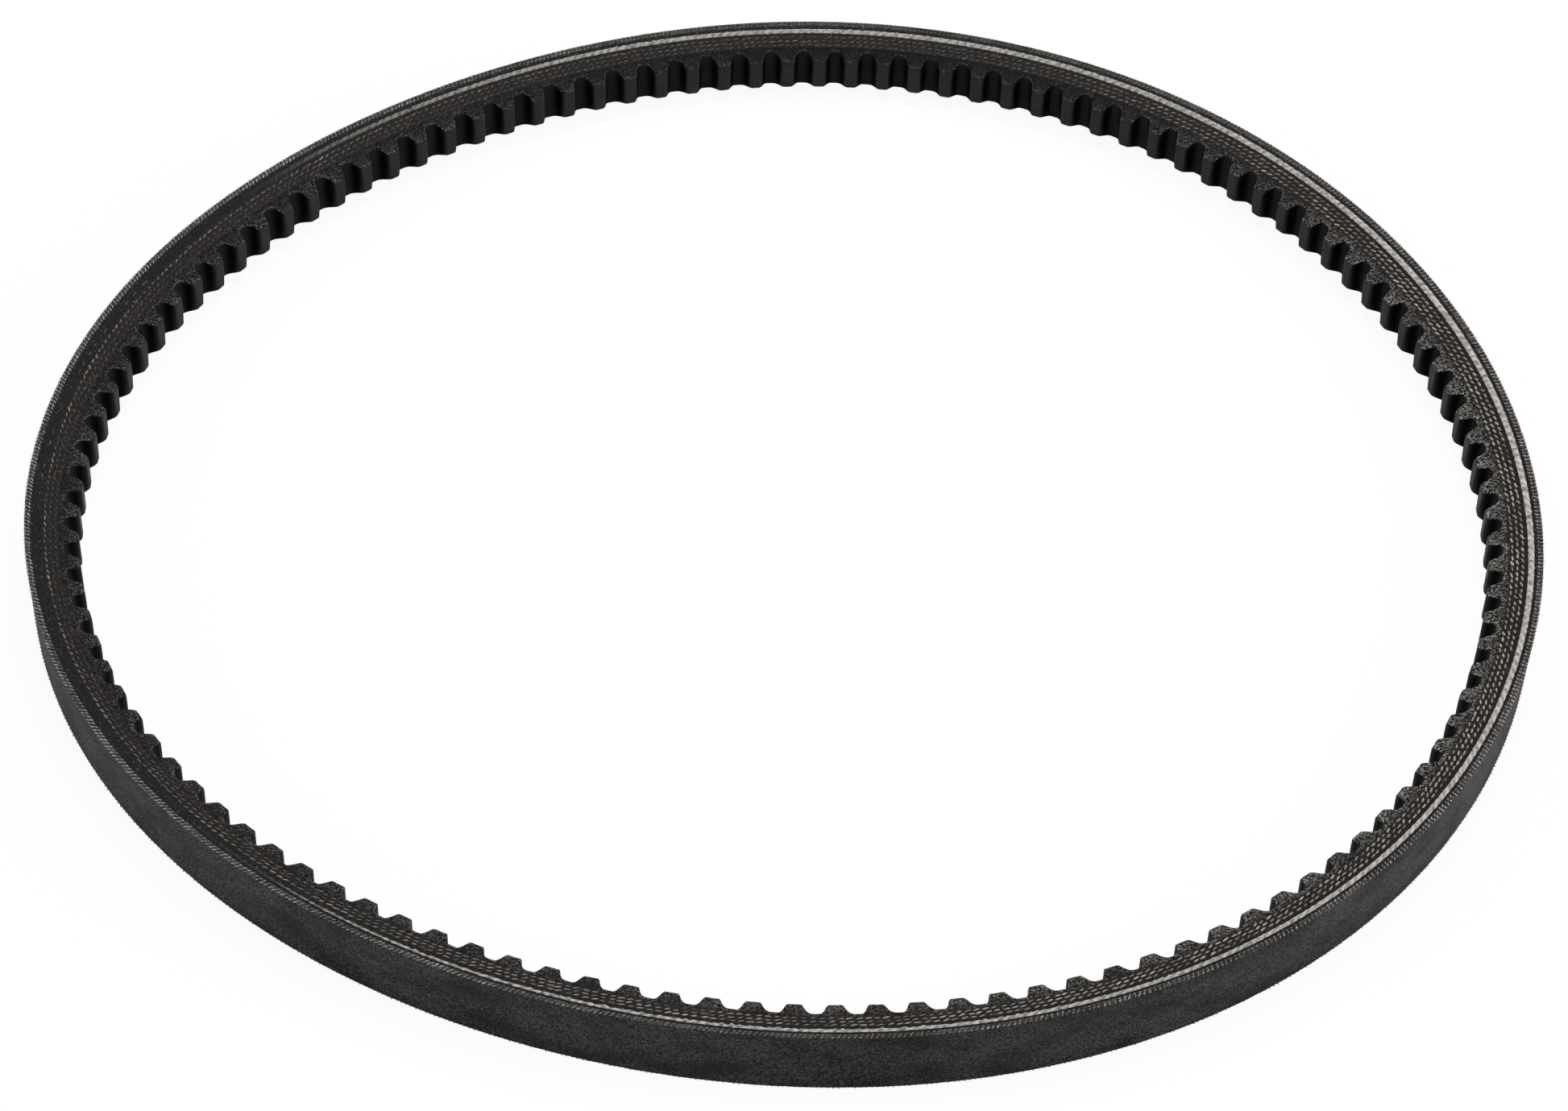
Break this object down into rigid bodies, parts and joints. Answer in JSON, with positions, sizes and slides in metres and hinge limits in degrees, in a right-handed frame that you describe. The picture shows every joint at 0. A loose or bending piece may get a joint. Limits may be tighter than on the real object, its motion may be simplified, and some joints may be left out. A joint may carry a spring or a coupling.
{
  "type": "v belt",
  "caption": "Endless raw-edge cogged V belt: laminated rubber and fabric loop with a wound tensile cord, which wedges into pulley grooves to carry power between shafts.",
  "frame": {"origin": "middle of the loop's box, on the plane that the lower edge of the back lies on", "axes": "+Z along the loop's axis, up from that plane; +X along the loop's slightly longer way"},
  "size_m": [0.262, 0.248, 0.0127],
  "materials": {
    "back_fabric": "matte rubbered weave",
    "cushion_gum": "matte cut rubber",
    "tensile_cord": "twisted polyester, cut along the flank",
    "ply_fabric": "rubbered weave with cut yarn ends",
    "cog_rubber": "matte moulded rubber with short fibres"
  },
  "bodies": {
    "root": {"back_fabric_outer_ply": "back_fabric", "back_fabric_inner_ply": "back_fabric", "upper_cushion_rubber": "cushion_gum", "tensile_cord": "tensile_cord", "lower_cushion_rubber": "cushion_gum", "reinforcing_ply_1": "ply_fabric", "reinforcing_ply_2": "ply_fabric", "reinforcing_ply_3": "ply_fabric", "cogged_compression_rubber": "cog_rubber"}
  },
  "joints": []
}
